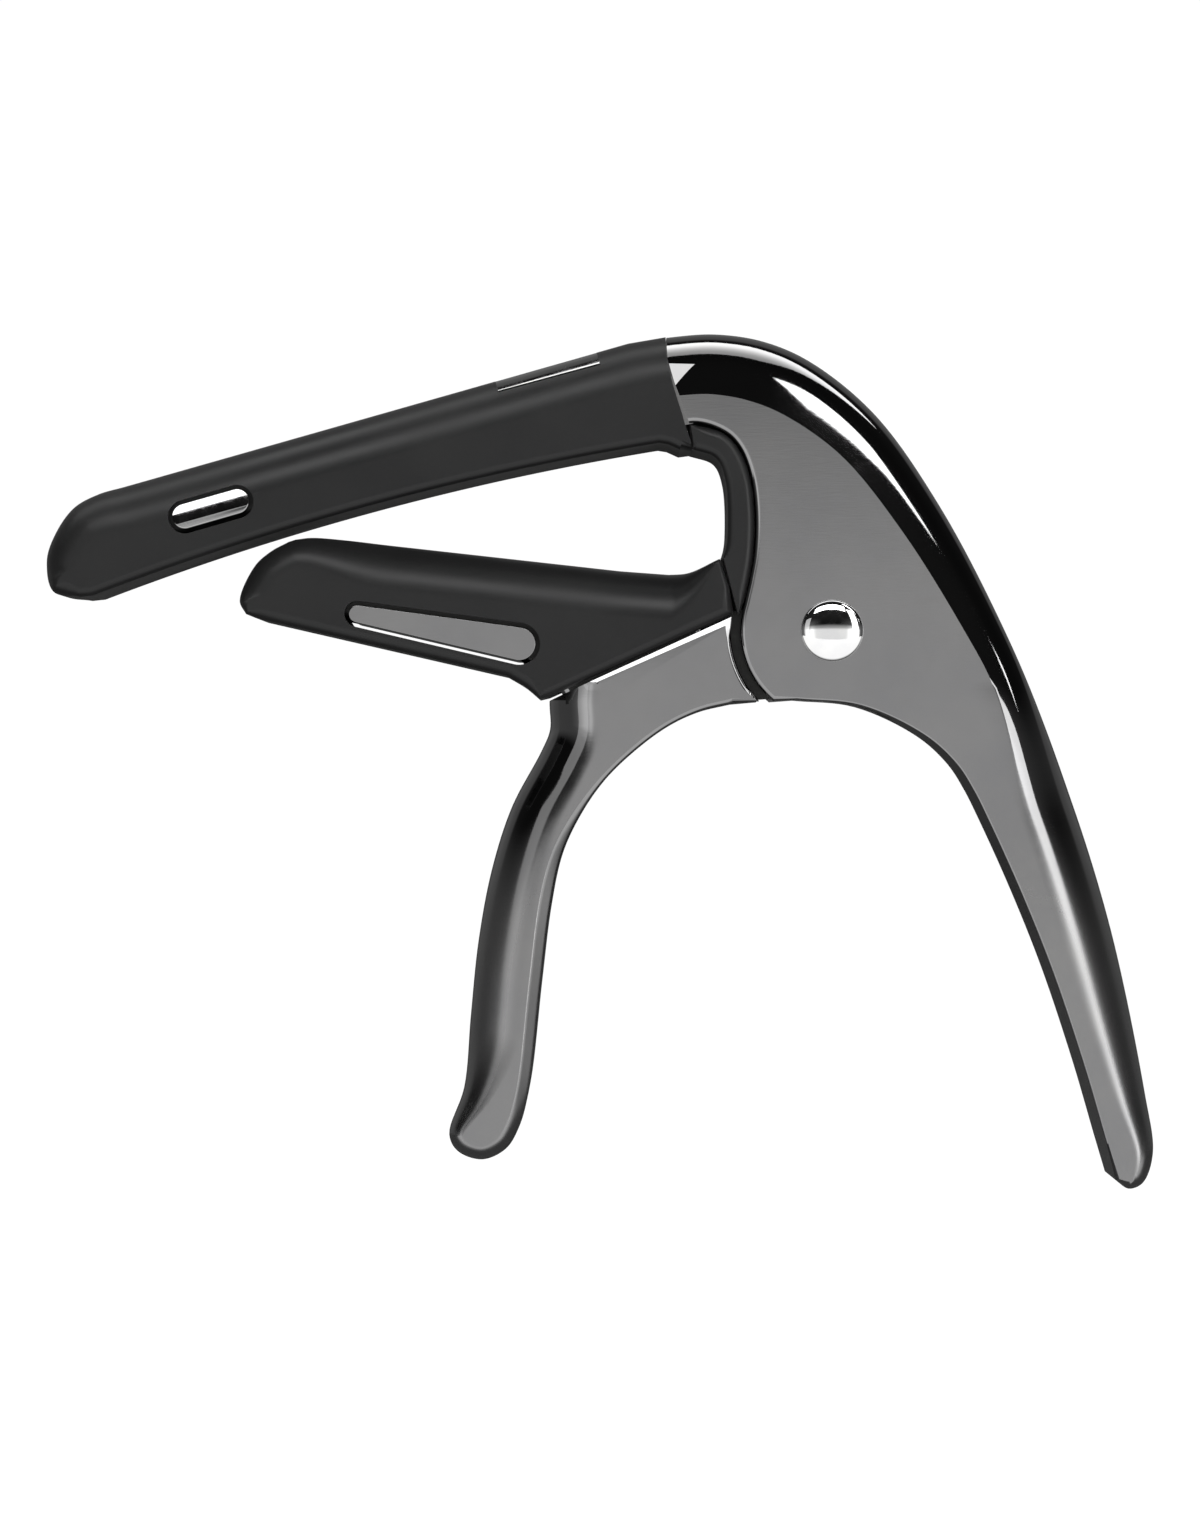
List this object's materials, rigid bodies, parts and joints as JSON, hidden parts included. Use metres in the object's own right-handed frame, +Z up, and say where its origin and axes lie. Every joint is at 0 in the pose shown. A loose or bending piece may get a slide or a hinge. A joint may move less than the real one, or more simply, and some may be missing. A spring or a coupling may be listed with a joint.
{
  "type": "guitar capo",
  "caption": "Spring-loaded trigger capo that clamps across a guitar neck with two padded jaws, opened by squeezing its handles.",
  "frame": {"origin": "middle of the string pad's pressing face, on the middle plane of the capo", "axes": "+X from the jaw tips towards the handles, +Y across the thickness from the rivet head to the rivet cap, +Z up, away from the handles' tips"},
  "size_m": [0.0985, 0.0154, 0.0761],
  "materials": {
    "black_nickel": "black nickel plating on a zinc casting, satin on the flat cheeks and polished on the slopes",
    "silicone": "matte black silicone",
    "chrome": "bright",
    "nylon": "natural",
    "spring_steel": "drawn wire"
  },
  "bodies": {
    "frame": {"main_frame": "black_nickel", "upper_sleeve": "silicone", "throat_pad": "silicone", "pivot_rivet": "chrome", "rivet_cap": "chrome", "spring_bushing": "nylon", "front_washer": "nylon", "rear_washer": "nylon", "torsion_spring": "spring_steel"},
    "lever": {"lever": "black_nickel", "lower_sleeve": "silicone"}
  },
  "joints": [
    {"name": "lever_pivot", "type": "hinge", "parent": "frame", "child": "lever", "pos_m": [0.0407, 0, -0.01115], "axis": [0, -1, 0], "range_deg": [0, 35], "stiffness_Nm_per_rad": 0.6, "springref_deg": -38.22, "deforming": ["torsion_spring"]}
  ]
}
